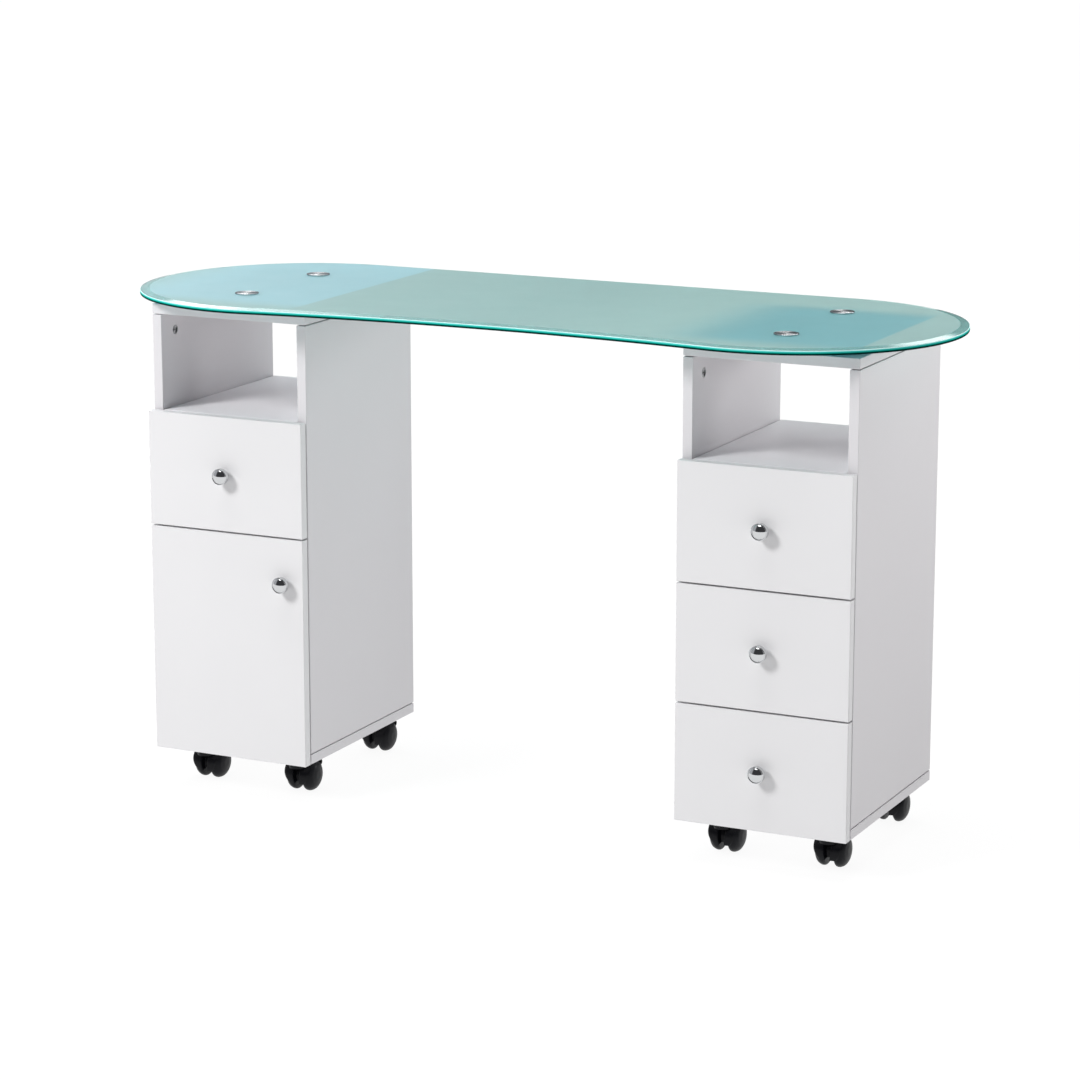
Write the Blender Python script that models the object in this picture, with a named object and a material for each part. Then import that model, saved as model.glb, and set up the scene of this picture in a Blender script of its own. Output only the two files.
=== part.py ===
"""Manicure table: a frosted glass top on two white board cabinets that roll on casters.

The left cabinet has an open niche, one drawer and a cupboard door. The right cabinet has an open
niche and three drawers. The table stands on z = 0 with its fronts towards -Y, and the origin is on
the floor under the middle of the glass top.
"""

import math

import bmesh
import bpy
from mathutils import Matrix, Vector

# ---- Driving dimensions, in metres ---------------------------------------------------------------

TOUCH_GAP = 0.0003             # left between two pieces that touch

GLASS_LENGTH = 1.304
GLASS_WIDTH = 0.500
GLASS_THICKNESS = 0.008
GLASS_HOLLOW = 0.030           # how far the middle of the front edge is set back
GLASS_ARRIS = 0.0010           # ground edge of the glass
GLASS_HOLE_RADIUS = 0.006
GLASS_HOLE_SIDES = 16
GLASS_HOLLOW_STEPS = 12
GLASS_END_STEPS = 24
GLASS_BLEND_STEPS = 2          # where the hollow runs into a round end

BOARD = 0.015                  # coated board of the cabinets
BOARD_EDGE = 0.0005            # broken corner of a board
CABINET_WIDTH = 0.264
CABINET_DEPTH = 0.332
CABINET_HEIGHT = 0.689
CABINET_SPACING = 0.872        # between the middles of the two cabinets
CABINET_FRONT_Y = -0.172
NICHE_HEIGHT = 0.146
BACK_THICKNESS = 0.005
BACK_INSET = 0.010

FRONT_STANDOFF = 0.003         # air between a closed front and the carcass
FRONT_GAP = 0.0026             # seam between two fronts

DRAWER_WALL = 0.012
DRAWER_FLOOR = 0.006
DRAWER_BOX_WIDTH = 0.208
DRAWER_BOX_LENGTH = 0.297
DRAWER_BOX_HEIGHT = 0.115
DRAWER_BOX_LIFT = 0.022        # from the bottom of a front to the bottom of its box

RUNNER_DEPTH = 0.012           # from the cabinet side to the drawer
RUNNER_HEIGHT = 0.030
RUNNER_LENGTH = 0.300
RUNNER_SHEET = 0.0012
RUNNER_SETBACK = 0.002

KNOB_STUD_RADIUS = 0.002
KNOB_STUD_SHORTFALL = 0.001    # from the end of the stud to the back of the front board
KNOB_HOLE_RADIUS = 0.0025
KNOB_SIDES = 20
KNOB_HOLE_SIDES = 10
KNOB_PROFILE = (               # radius, distance from the front board: foot, waist, head, crown
    (0.0065, TOUCH_GAP),
    (0.0052, 0.0054),
    (0.0078, 0.0108),
    (0.0125, 0.0150),
    (0.0125, 0.0180),
    (0.0090, 0.0218),
    (0.0000, 0.0230),
)
DOOR_KNOB_FROM_EDGE = 0.0315
DOOR_KNOB_FROM_TOP = 0.0675

HINGE_CUP_RADIUS = 0.0172
HINGE_CUP_DEPTH = 0.0105
HINGE_CUP_WALL = 0.0015
HINGE_CUP_SIDES = 24
HINGE_FLANGE_WIDTH = 0.003     # how far the cup's flange reaches over the door
HINGE_FLANGE_TOP = 0.0012      # from the back of the door
HINGE_CUP_FROM_EDGE = 0.0225
HINGE_FROM_END = 0.085
HINGE_ARM_WIDTH = 0.016
HINGE_ARM_PROFILE = (          # distance from the side board, distance behind the cabinet front
    (TOUCH_GAP, 0.024),
    (TOUCH_GAP, 0.072),
    (0.009, 0.070),
    (0.013, 0.052),
    (0.014, 0.012),
    (0.021, 0.003),
    (0.010, 0.003),
    (0.005, 0.014),
)

CASTER_HEIGHT = 0.063
CASTER_INSET_X = 0.050         # swivel axis from the side of the cabinet
CASTER_INSET_Y = 0.044         # swivel axis from the front or the back of the cabinet
CASTER_TRAIL = 0.022           # axle behind the swivel axis
WHEEL_RADIUS = 0.025
WHEEL_WIDTH = 0.018
WHEEL_SPACING = 0.032          # between the middles of the two wheels of a caster
AXLE_RADIUS = 0.003
WHEEL_SIDES = 16
WHEEL_PROFILE = (              # cut back from the wheel radius, distance from the inner face
    (0.0015, 0.0),
    (0.0, 0.003),
    (0.0, WHEEL_WIDTH - 0.009),
    (0.0035, WHEEL_WIDTH - 0.003),
    (0.0100, WHEEL_WIDTH),
)
HOOD_WALL = 0.004              # outside of the hood from the wheel's tread
HOOD_ARCH = (195, 20)          # degrees round the axle, from behind the wheel over its top
HOOD_HUB_RADIUS = 0.008
HOOD_HUB_ARC = (-20, -165)
HOOD_WEB_PLAY = 0.001          # between the web and each wheel
WHEEL_PLAY = 0.0015            # between the tread and the hood
HOOD_STEPS = 9
HOOD_HUB_STEPS = 4
WHEEL_ROOM_SIDES = 24
HOOD_HEAD_SIDES = 12
HOOD_HEAD_PROFILE = (          # radius, height below the cabinet: round head and its bearing plate
    (0.0, -0.021),
    (0.012, -0.021),
    (0.015, -0.008),
    (0.015, -0.003),
    (0.018, -0.003),
    (0.018, -TOUCH_GAP),
    (0.0, -TOUCH_GAP),
)

CAP_RADIUS = 0.018
CAP_THICKNESS = 0.0025
CAP_CHAMFER = 0.0008
STANDOFF_SIDES = 24
COLLAR_RADIUS = 0.015
NECK_RADIUS = 0.0045
GLASS_LIFT = 0.008             # from the cabinet top to the underside of the glass
STANDOFF_SPACING = 0.218       # front to back

# ---- Levels and planes that follow from them -----------------------------------------------------

CABINET_BOTTOM_Z = CASTER_HEIGHT
CABINET_TOP_Z = CABINET_BOTTOM_Z + CABINET_HEIGHT
CABINET_BACK_Y = CABINET_FRONT_Y + CABINET_DEPTH
NICHE_FLOOR_Z = CABINET_TOP_Z - BOARD - NICHE_HEIGHT
FRONT_MODULE = (NICHE_FLOOR_Z - CABINET_BOTTOM_Z) / 3
FRONT_BACK_Y = CABINET_FRONT_Y - FRONT_STANDOFF
FRONT_FACE_Y = FRONT_BACK_Y - BOARD
GLASS_BOTTOM_Z = CABINET_TOP_Z + GLASS_LIFT
INNER_HALF_WIDTH = CABINET_WIDTH / 2 - BOARD

# ---- Materials: name, colour, roughness, metallic ------------------------------------------------

MATERIALS = {
    "white_board": ((0.80, 0.80, 0.81), 0.45, 0.0),
    "white_hardboard": ((0.72, 0.72, 0.73), 0.60, 0.0),
    "aqua_glass": ((0.30, 0.60, 0.56), 0.15, 0.0),
    "brushed_steel": ((0.62, 0.62, 0.63), 0.30, 1.0),
    "chrome": ((0.80, 0.80, 0.82), 0.06, 1.0),
    "zinc_plate": ((0.55, 0.56, 0.58), 0.35, 1.0),
    "white_metal": ((0.74, 0.74, 0.74), 0.40, 0.0),
    "black_nylon": ((0.012, 0.012, 0.014), 0.40, 0.0),
}


def make_material(name):
    colour, roughness, metallic = MATERIALS[name]
    material = bpy.data.materials.new(name)
    material.use_nodes = True
    shader = material.node_tree.nodes["Principled BSDF"]
    shader.inputs["Base Color"].default_value = (*colour, 1.0)
    shader.inputs["Roughness"].default_value = roughness
    shader.inputs["Metallic"].default_value = metallic
    return material


# ---- Small tools ---------------------------------------------------------------------------------


def clear_scene():
    for old in list(bpy.data.objects):
        bpy.data.objects.remove(old, do_unlink=True)


def add_axis(name, position):
    """An empty on the axis that a moving sub-assembly turns about or slides along."""
    axis = bpy.data.objects.new(name, None)
    axis.location = position
    bpy.context.collection.objects.link(axis)
    return axis


def add_object(name, mesh, material, origin, parent=None):
    """Links a mesh whose points are relative to origin, a point in the table's frame."""
    piece = bpy.data.objects.new(name, mesh)
    if not mesh.materials:
        mesh.materials.append(bpy.data.materials[material])
    piece.location = Vector(origin)
    if parent is not None:
        piece.parent = parent
        piece.location -= parent.location
    bpy.context.collection.objects.link(piece)
    return piece


def mesh_from(bm, name, smooth_angle=None):
    bmesh.ops.recalc_face_normals(bm, faces=bm.faces)
    mesh = bpy.data.meshes.new(name)
    bm.to_mesh(mesh)
    bm.free()
    if smooth_angle is not None:
        mesh.shade_smooth()
        mesh.set_sharp_from_angle(angle=math.radians(smooth_angle))
    return mesh


def box_bmesh(low, high, origin=(0, 0, 0)):
    bm = bmesh.new()
    low, high, origin = Vector(low), Vector(high), Vector(origin)
    middle = (low + high) / 2 - origin
    scale = Matrix.Diagonal((*(high - low), 1.0))
    bmesh.ops.create_cube(bm, size=1.0, matrix=Matrix.Translation(middle) @ scale)
    return bm


def bevel_edges(piece, width):
    """Breaks the piece's sharp edges."""
    bevel = piece.modifiers.new("broken_edges", "BEVEL")
    bevel.width = width
    bevel.segments = 1
    bevel.limit_method = "ANGLE"
    bevel.angle_limit = math.radians(50)


def add_board(name, low, high, material="white_board", parent=None):
    """A flat board between two corners, with its origin in the middle."""
    middle = (Vector(low) + Vector(high)) / 2
    mesh = mesh_from(box_bmesh(low, high, middle), name)
    piece = add_object(name, mesh, material, middle, parent)
    bevel_edges(piece, BOARD_EDGE)
    return piece


def extruded_mesh(name, outline, start, length, plane, smooth_angle=None):
    """A prism: outline is in the plane "xy", "xz" or "yz" and the prism grows along the third axis."""
    bm = bmesh.new()
    place = {
        "xy": lambda a, b: (a, b, start),
        "xz": lambda a, b: (a, start, b),
        "yz": lambda a, b: (start, a, b),
    }[plane]
    grow = {"xy": (0, 0, length), "xz": (0, length, 0), "yz": (length, 0, 0)}[plane]
    face = bm.faces.new([bm.verts.new(place(a, b)) for a, b in outline])
    grown = bmesh.ops.extrude_face_region(bm, geom=[face])
    moved = [item for item in grown["geom"] if isinstance(item, bmesh.types.BMVert)]
    bmesh.ops.translate(bm, verts=moved, vec=Vector(grow))
    return mesh_from(bm, name, smooth_angle)


def turned_mesh(name, profile, axis, sides, smooth_angle=40):
    """A turned solid: profile lists (radius, distance along the axis) from one end to the other."""
    along = {"x": Vector((1, 0, 0)), "y": Vector((0, 1, 0)), "z": Vector((0, 0, 1))}[axis]
    across = {"x": Vector((0, 0, -1)), "y": Vector((1, 0, 0)), "z": Vector((1, 0, 0))}[axis]
    bm = bmesh.new()
    points = [bm.verts.new(across * radius + along * distance) for radius, distance in profile]
    edges = [bm.edges.new(pair) for pair in zip(points, points[1:])]
    bmesh.ops.spin(bm, geom=points + edges, cent=(0, 0, 0), axis=along, angle=2 * math.pi,
                   steps=sides, use_merge=True)
    bmesh.ops.remove_doubles(bm, verts=bm.verts, dist=1e-6)
    return mesh_from(bm, name, smooth_angle)


def arc(centre, radius, start, end, steps):
    """Points on an arc, angles in radians, without the last one."""
    angles = [start + (end - start) * step / steps for step in range(steps)]
    return [(centre[0] + radius * math.cos(a), centre[1] + radius * math.sin(a)) for a in angles]


def closed_arc(centre, radius, start, end, steps):
    """The same arc with its last point."""
    last = (centre[0] + radius * math.cos(end), centre[1] + radius * math.sin(end))
    return arc(centre, radius, start, end, steps) + [last]


def add_cutter(name, centres, axis, radius, depth, sides, parent=None):
    """Hidden cylinders that share one object, each centred on one of the centres."""
    turns = {"y": Matrix.Rotation(math.pi / 2, 4, "X"), "z": Matrix.Identity(4)}
    origin = Vector(centres[0])
    bm = bmesh.new()
    for centre in centres:
        place = Matrix.Translation(Vector(centre) - origin) @ turns[axis]
        bmesh.ops.create_cone(bm, cap_ends=True, segments=sides, radius1=radius, radius2=radius,
                              depth=depth, matrix=place)
    cutter = add_object(name, mesh_from(bm, name), "zinc_plate", origin, parent)
    cutter.hide_render = True
    cutter.display_type = "WIRE"
    return cutter


def combine(piece, tool, operation):
    boolean = piece.modifiers.new(tool.name, "BOOLEAN")
    boolean.operation = operation
    boolean.object = tool
    boolean.solver = "EXACT"


# ---- Glass top and its standoffs -----------------------------------------------------------------


def glass_outline():
    """Round ends, a straight back edge, and a front edge hollowed by one large arc.

    The hollow arc touches both end arcs, so the edge runs through without a corner.
    """
    end_radius = GLASS_WIDTH / 2
    end_x = GLASS_LENGTH / 2 - end_radius
    front_middle = end_radius - GLASS_HOLLOW
    hollow_radius = (end_x ** 2 + front_middle ** 2 - end_radius ** 2) / (2 * GLASS_HOLLOW)
    tilt = math.atan2(end_x, front_middle + hollow_radius)
    quarter = math.pi / 2
    hollow_middle = (0, -front_middle - hollow_radius)
    right, left = (end_x, 0), (-end_x, 0)
    points = arc(hollow_middle, hollow_radius, quarter + tilt, quarter - tilt, GLASS_HOLLOW_STEPS)
    points += arc(right, end_radius, -quarter - tilt, -quarter, GLASS_BLEND_STEPS)
    points += arc(right, end_radius, -quarter, quarter, GLASS_END_STEPS)
    points += arc(left, end_radius, quarter, 3 * quarter, GLASS_END_STEPS)
    points += arc(left, end_radius, 3 * quarter, 3 * quarter + tilt, GLASS_BLEND_STEPS)
    return points


def standoff_positions():
    middle_y = (CABINET_FRONT_Y + CABINET_BACK_Y) / 2
    for cabinet, side in (("left", -1), ("right", 1)):
        for end, direction in (("front", -1), ("back", 1)):
            y = middle_y + direction * STANDOFF_SPACING / 2
            yield f"{cabinet}_{end}", (side * CABINET_SPACING / 2, y)


def standoff_mesh():
    """Collar under the glass, neck through its hole, and cap over it; z = 0 is the cabinet top."""
    top = GLASS_LIFT + GLASS_THICKNESS
    profile = [
        (0, TOUCH_GAP),
        (COLLAR_RADIUS, TOUCH_GAP),
        (COLLAR_RADIUS, GLASS_LIFT - TOUCH_GAP),
        (NECK_RADIUS, GLASS_LIFT - TOUCH_GAP),
        (NECK_RADIUS, top + TOUCH_GAP),
        (CAP_RADIUS, top + TOUCH_GAP),
        (CAP_RADIUS, top + CAP_THICKNESS - CAP_CHAMFER),
        (CAP_RADIUS - CAP_CHAMFER, top + CAP_THICKNESS),
        (0, top + CAP_THICKNESS),
    ]
    return turned_mesh("glass_standoff", profile, "z", STANDOFF_SIDES)


def build_glass():
    middle = (0, 0, GLASS_BOTTOM_Z)
    mesh = extruded_mesh("glass_top", glass_outline(), 0, GLASS_THICKNESS, "xy", 40)
    glass = add_object("glass_top", mesh, "aqua_glass", middle)
    bevel_edges(glass, GLASS_ARRIS)
    spots = list(standoff_positions())
    holes = [(x, y, GLASS_BOTTOM_Z + GLASS_THICKNESS / 2) for _, (x, y) in spots]
    cutter = add_cutter("glass_holes_cutter", holes, "z", GLASS_HOLE_RADIUS, 2 * GLASS_THICKNESS,
                        GLASS_HOLE_SIDES)
    combine(glass, cutter, "DIFFERENCE")
    mesh = standoff_mesh()
    for place, (x, y) in spots:
        add_object(f"glass_standoff_{place}", mesh, "brushed_steel", (x, y, CABINET_TOP_Z))


# ---- Cabinets ------------------------------------------------------------------------------------


def build_carcass(cabinet, middle_x, has_divider):
    """Top and bottom boards run full width, and the sides, shelves and back sit between them."""
    prefix = f"{cabinet}_cabinet"
    outer = CABINET_WIDTH / 2
    inner = INNER_HALF_WIDTH - TOUCH_GAP
    front, back = CABINET_FRONT_Y, CABINET_BACK_Y
    floor_z = CABINET_BOTTOM_Z + BOARD
    ceiling_z = CABINET_TOP_Z - BOARD

    def board(name, low, high, material="white_board"):
        low = (middle_x + low[0], low[1], low[2])
        high = (middle_x + high[0], high[1], high[2])
        add_board(f"{prefix}_{name}", low, high, material)

    board("top", (-outer, front, ceiling_z), (outer, back, CABINET_TOP_Z))
    board("bottom", (-outer, front, CABINET_BOTTOM_Z), (outer, back, floor_z))
    for name, near, far in (("left_side", -outer, -INNER_HALF_WIDTH),
                            ("right_side", INNER_HALF_WIDTH, outer)):
        board(name, (near, front, floor_z + TOUCH_GAP), (far, back, ceiling_z - TOUCH_GAP))
    board("niche_shelf", (-inner, front, NICHE_FLOOR_Z - BOARD), (inner, back, NICHE_FLOOR_Z))
    back_y = back - BACK_INSET
    lower = (-inner, back_y - BACK_THICKNESS, floor_z + TOUCH_GAP)
    upper = (inner, back_y, NICHE_FLOOR_Z - BOARD - TOUCH_GAP)
    board("back", lower, upper, "white_hardboard")
    if has_divider:
        seam_z = CABINET_BOTTOM_Z + 2 * FRONT_MODULE
        rear = back_y - BACK_THICKNESS - TOUCH_GAP
        board("divider_shelf", (-inner, front, seam_z - BOARD / 2), (inner, rear, seam_z + BOARD / 2))


def runner_outline(middle_x, side, low_z):
    """A channel that opens towards the drawer, screwed to the inside of a cabinet side."""
    wall = middle_x + side * (INNER_HALF_WIDTH - TOUCH_GAP)
    lip = wall - side * RUNNER_DEPTH
    web = wall - side * RUNNER_SHEET
    high_z = low_z + RUNNER_HEIGHT
    outline = [(wall, low_z), (lip, low_z), (lip, low_z + RUNNER_SHEET), (web, low_z + RUNNER_SHEET)]
    outline += [(web, high_z - RUNNER_SHEET), (lip, high_z - RUNNER_SHEET), (lip, high_z)]
    outline += [(wall, high_z)]
    return outline


def knob_mesh():
    """Foot on the front, waist, grooved head with a crown, and a stud into the front."""
    stud_end = BOARD - KNOB_STUD_SHORTFALL
    profile = [(0, stud_end), (KNOB_STUD_RADIUS, stud_end), (KNOB_STUD_RADIUS, -TOUCH_GAP)]
    profile += [(radius, -distance) for radius, distance in KNOB_PROFILE]
    return turned_mesh("knob", profile, "y", KNOB_SIDES)


def add_front(name, middle_x, low_z, high_z, knob_x, knob_z, mesh, axis):
    """A front board with the hole for its knob, and the knob."""
    half = CABINET_WIDTH / 2
    low = (middle_x - half, FRONT_FACE_Y, low_z)
    high = (middle_x + half, FRONT_BACK_Y, high_z)
    front = add_board(name, low, high, parent=axis)
    hole = (knob_x, (FRONT_FACE_Y + FRONT_BACK_Y) / 2, knob_z)
    cutter = add_cutter(f"{name}_hole_cutter", [hole], "y", KNOB_HOLE_RADIUS, 2 * BOARD,
                        KNOB_HOLE_SIDES, axis)
    combine(front, cutter, "DIFFERENCE")
    knob_name = name.replace("_front", "") + "_knob"
    add_object(knob_name, mesh, "chrome", (knob_x, FRONT_FACE_Y, knob_z), axis)
    return front


def add_drawer_box(name, middle_x, low_z, axis):
    """An open tray: the inside is pushed down from the top face of a block."""
    half = DRAWER_BOX_WIDTH / 2
    front = FRONT_BACK_Y + TOUCH_GAP
    low = Vector((middle_x - half, front, low_z))
    high = Vector((middle_x + half, front + DRAWER_BOX_LENGTH, low_z + DRAWER_BOX_HEIGHT))
    middle = (low + high) / 2
    bm = box_bmesh(low, high, middle)
    top = max(bm.faces, key=lambda face: face.calc_center_median().z)
    bmesh.ops.inset_region(bm, faces=[top], thickness=DRAWER_WALL, use_even_offset=True)
    grown = bmesh.ops.extrude_face_region(bm, geom=[top])
    bmesh.ops.delete(bm, geom=[top], context="FACES_ONLY")
    moved = [item for item in grown["geom"] if isinstance(item, bmesh.types.BMVert)]
    bmesh.ops.translate(bm, verts=moved, vec=(0, 0, DRAWER_FLOOR - DRAWER_BOX_HEIGHT))
    add_object(name, mesh_from(bm, name), "white_board", middle, axis)


def build_drawer(name, middle_x, row, knob):
    """One drawer and its two fixed runners; row 0 is the lowest of the three front modules."""
    low_z = CABINET_BOTTOM_Z + row * FRONT_MODULE
    lowest = low_z + (FRONT_GAP / 2 if row > 0 else 0)
    highest = low_z + FRONT_MODULE - (FRONT_GAP / 2 if row < 2 else 0)
    knob_z = low_z + FRONT_MODULE / 2
    axis = add_axis(f"{name}_slide", (middle_x, FRONT_BACK_Y, knob_z))
    add_front(f"{name}_front", middle_x, lowest, highest, middle_x, knob_z, knob, axis)
    box_z = low_z + DRAWER_BOX_LIFT
    add_drawer_box(f"{name}_box", middle_x, box_z, axis)
    start = CABINET_FRONT_Y + RUNNER_SETBACK
    for side_name, side in (("left", -1), ("right", 1)):
        outline = runner_outline(middle_x, side, box_z)
        runner = f"{name}_runner_{side_name}"
        mesh = extruded_mesh(runner, outline, start, RUNNER_LENGTH, "xz")
        add_object(runner, mesh, "white_metal", (0, 0, 0))


def hinge_cup_mesh():
    """A round cup sunk in the door, open towards the cabinet; y = 0 is the back of the door."""
    flange_radius = HINGE_CUP_RADIUS + HINGE_FLANGE_WIDTH
    hollow_radius = HINGE_CUP_RADIUS - HINGE_CUP_WALL
    hollow_end = -HINGE_CUP_DEPTH + HINGE_CUP_WALL
    profile = [
        (0, -HINGE_CUP_DEPTH),
        (HINGE_CUP_RADIUS, -HINGE_CUP_DEPTH),
        (HINGE_CUP_RADIUS, TOUCH_GAP),
        (flange_radius, TOUCH_GAP),
        (flange_radius, HINGE_FLANGE_TOP),
        (hollow_radius, HINGE_FLANGE_TOP),
        (hollow_radius, hollow_end),
        (0, hollow_end),
    ]
    return turned_mesh("hinge_cup", profile, "y", HINGE_CUP_SIDES)


def hinge_arm_outline(wall_x):
    """Mounting plate against the side board and the arm that reaches forward from it."""
    return [(wall_x + reach, CABINET_FRONT_Y + depth) for reach, depth in HINGE_ARM_PROFILE]


def build_door(middle_x, knob):
    """The cupboard door turns about the upright edge at its back left corner."""
    low_z = CABINET_BOTTOM_Z
    high_z = CABINET_BOTTOM_Z + 2 * FRONT_MODULE - FRONT_GAP / 2
    left_x = middle_x - CABINET_WIDTH / 2
    axis = add_axis("cupboard_door_hinge", (left_x, FRONT_BACK_Y, (low_z + high_z) / 2))
    knob_x = middle_x + CABINET_WIDTH / 2 - DOOR_KNOB_FROM_EDGE
    knob_z = high_z - DOOR_KNOB_FROM_TOP
    door = add_front("cupboard_door", middle_x, low_z, high_z, knob_x, knob_z, knob, axis)
    cup_x = left_x + HINGE_CUP_FROM_EDGE
    levels = {"upper": high_z - HINGE_FROM_END, "lower": low_z + HINGE_FROM_END}
    bores = [(cup_x, FRONT_BACK_Y, z) for z in levels.values()]
    bore_depth = 2 * (HINGE_CUP_DEPTH + TOUCH_GAP)
    bore_radius = HINGE_CUP_RADIUS + TOUCH_GAP
    cutter = add_cutter("door_cup_cutter", bores, "y", bore_radius, bore_depth, HINGE_CUP_SIDES,
                        axis)
    combine(door, cutter, "DIFFERENCE")
    cup = hinge_cup_mesh()
    outline = hinge_arm_outline(middle_x - INNER_HALF_WIDTH)
    for place, z in levels.items():
        add_object(f"{place}_hinge_cup", cup, "zinc_plate", (cup_x, FRONT_BACK_Y, z), axis)
        arm = f"{place}_hinge_arm"
        mesh = extruded_mesh(arm, outline, z - HINGE_ARM_WIDTH / 2, HINGE_ARM_WIDTH, "xy")
        add_object(arm, mesh, "zinc_plate", (0, 0, 0))


# ---- Casters -------------------------------------------------------------------------------------


def wheel_pair_mesh():
    """Two wheels on one axle along X, with rounded treads and dished outer faces."""
    inner = (WHEEL_SPACING - WHEEL_WIDTH) / 2
    right = [(AXLE_RADIUS, inner)]
    right += [(WHEEL_RADIUS - cut, inner + distance) for cut, distance in WHEEL_PROFILE]
    right.append((0, inner + WHEEL_WIDTH))
    left = [(radius, -distance) for radius, distance in reversed(right)]
    return turned_mesh("caster_wheels", left + right, "x", WHEEL_SIDES)


def hood_mesh():
    """A hood over both wheels with a web between them and a round head; z = 0 is the caster's top."""
    axle_z = WHEEL_RADIUS - CASTER_HEIGHT
    half_width = (WHEEL_SPACING + WHEEL_WIDTH) / 2
    web_half = (WHEEL_SPACING - WHEEL_WIDTH) / 2 - HOOD_WEB_PLAY
    room_radius = WHEEL_RADIUS + WHEEL_PLAY
    bore_radius = AXLE_RADIUS + 2 * TOUCH_GAP
    arch_from, arch_to = (math.radians(angle) for angle in HOOD_ARCH)
    hub_from, hub_to = (math.radians(angle) for angle in HOOD_HUB_ARC)
    hub = (CASTER_TRAIL, axle_z)
    side = closed_arc(hub, WHEEL_RADIUS + HOOD_WALL, arch_from, arch_to, HOOD_STEPS)
    side += closed_arc(hub, HOOD_HUB_RADIUS, hub_from, hub_to, HOOD_HUB_STEPS)
    bore = [(0, -half_width), (bore_radius, -half_width), (bore_radius, half_width), (0, half_width)]
    past = 1.5 * half_width
    room = [(0, web_half), (room_radius, web_half), (room_radius, past), (0, past)]
    mirrored_room = [(radius, -distance) for radius, distance in reversed(room)]
    axle = (0, CASTER_TRAIL, axle_z)

    def helper(name, mesh, origin=(0, 0, 0)):
        return add_object(name, mesh, "black_nylon", origin)

    body = helper("hood_body", extruded_mesh("hood_body", side, -half_width, 2 * half_width, "yz"))
    head = turned_mesh("hood_head", HOOD_HEAD_PROFILE, "z", HOOD_HEAD_SIDES)
    crown = helper("hood_head", head)
    drill = helper("axle_bore", turned_mesh("axle_bore", bore, "x", HOOD_HEAD_SIDES), axle)
    sides = WHEEL_ROOM_SIDES
    left_room = helper("left_room", turned_mesh("left_room", mirrored_room, "x", sides), axle)
    right_room = helper("right_room", turned_mesh("right_room", room, "x", sides), axle)
    combine(body, crown, "UNION")
    for tool in (drill, left_room, right_room):
        combine(body, tool, "DIFFERENCE")
    depsgraph = bpy.context.evaluated_depsgraph_get()
    mesh = bpy.data.meshes.new_from_object(body.evaluated_get(depsgraph))
    mesh.name = "caster_hood"
    for used in (body, crown, drill, left_room, right_room):
        bpy.data.objects.remove(used, do_unlink=True)
    mesh.shade_smooth()
    mesh.set_sharp_from_angle(angle=math.radians(40))
    return mesh


def build_casters():
    hood, wheels = hood_mesh(), wheel_pair_mesh()
    reach_x = CABINET_WIDTH / 2 - CASTER_INSET_X
    rows = (("front", CABINET_FRONT_Y + CASTER_INSET_Y), ("back", CABINET_BACK_Y - CASTER_INSET_Y))
    for cabinet, cabinet_x in (("left", -CABINET_SPACING / 2), ("right", CABINET_SPACING / 2)):
        for row, y in rows:
            for column, x in (("left", cabinet_x - reach_x), ("right", cabinet_x + reach_x)):
                name = f"{cabinet}_cabinet_caster_{row}_{column}"
                top = (x, y, CASTER_HEIGHT)
                axis = add_axis(f"{name}_swivel", top)
                add_object(f"{name}_hood", hood, "black_nylon", top, axis)
                axle = (x, y + CASTER_TRAIL, WHEEL_RADIUS)
                add_object(f"{name}_wheels", wheels, "black_nylon", axle, axis)


# ---- The whole table -----------------------------------------------------------------------------


def build_table():
    clear_scene()
    for name in MATERIALS:
        make_material(name)
    left_x, right_x = -CABINET_SPACING / 2, CABINET_SPACING / 2
    build_glass()
    build_carcass("left", left_x, has_divider=True)
    build_carcass("right", right_x, has_divider=False)
    knob = knob_mesh()
    build_drawer("left_drawer", left_x, 2, knob)
    build_door(left_x, knob)
    for row, place in enumerate(("lower", "middle", "upper")):
        build_drawer(f"right_{place}_drawer", right_x, row, knob)
    build_casters()


build_table()
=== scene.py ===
"""Looks of the manicure table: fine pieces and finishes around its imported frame.

The table stands on z = 0 with its fronts towards -Y. The glass top lies on four clamped standoffs
on two white board cabinets, each with an open niche over a drawer and a door, or three drawers.
"""

import math
from functools import partial, reduce
from itertools import product

import bmesh
import bpy
from mathutils import Matrix, Vector


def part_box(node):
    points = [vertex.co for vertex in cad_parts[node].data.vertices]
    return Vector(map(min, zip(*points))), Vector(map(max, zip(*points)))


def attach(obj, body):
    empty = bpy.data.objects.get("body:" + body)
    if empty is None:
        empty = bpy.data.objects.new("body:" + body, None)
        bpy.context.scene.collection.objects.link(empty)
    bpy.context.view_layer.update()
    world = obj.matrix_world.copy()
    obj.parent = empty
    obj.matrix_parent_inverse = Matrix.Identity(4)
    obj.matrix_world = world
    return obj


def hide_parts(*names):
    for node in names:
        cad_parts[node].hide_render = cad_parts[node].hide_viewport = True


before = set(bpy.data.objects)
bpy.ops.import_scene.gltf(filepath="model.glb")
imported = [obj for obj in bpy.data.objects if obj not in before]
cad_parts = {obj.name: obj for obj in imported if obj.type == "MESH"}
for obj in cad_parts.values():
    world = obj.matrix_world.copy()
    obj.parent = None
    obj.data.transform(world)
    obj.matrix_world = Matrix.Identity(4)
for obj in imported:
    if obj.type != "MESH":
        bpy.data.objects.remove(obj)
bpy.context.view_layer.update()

# ---- Dimensions of the details, in metres ----

HAIR = 0.0003                  # air between two pieces that touch

BOARD_ROUND = 0.0008           # rounded corner of an edge band
BAND = 0.0012                  # thickness of the edge band, up to its seam
BOARD_JOINT = 0.0012           # open line where two boards meet
SEAM_WIDTH = 0.00012
SEAM_DEPTH = 0.00010

CAM_RADIUS = 0.0075            # cam lock bores
CAM_DEPTH = 0.0125
CAM_SUNK = 0.0004
CAM_FROM_END = 0.029           # from the board that the cam pulls against
CAM_FROM_FRONT = 0.040

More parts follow.
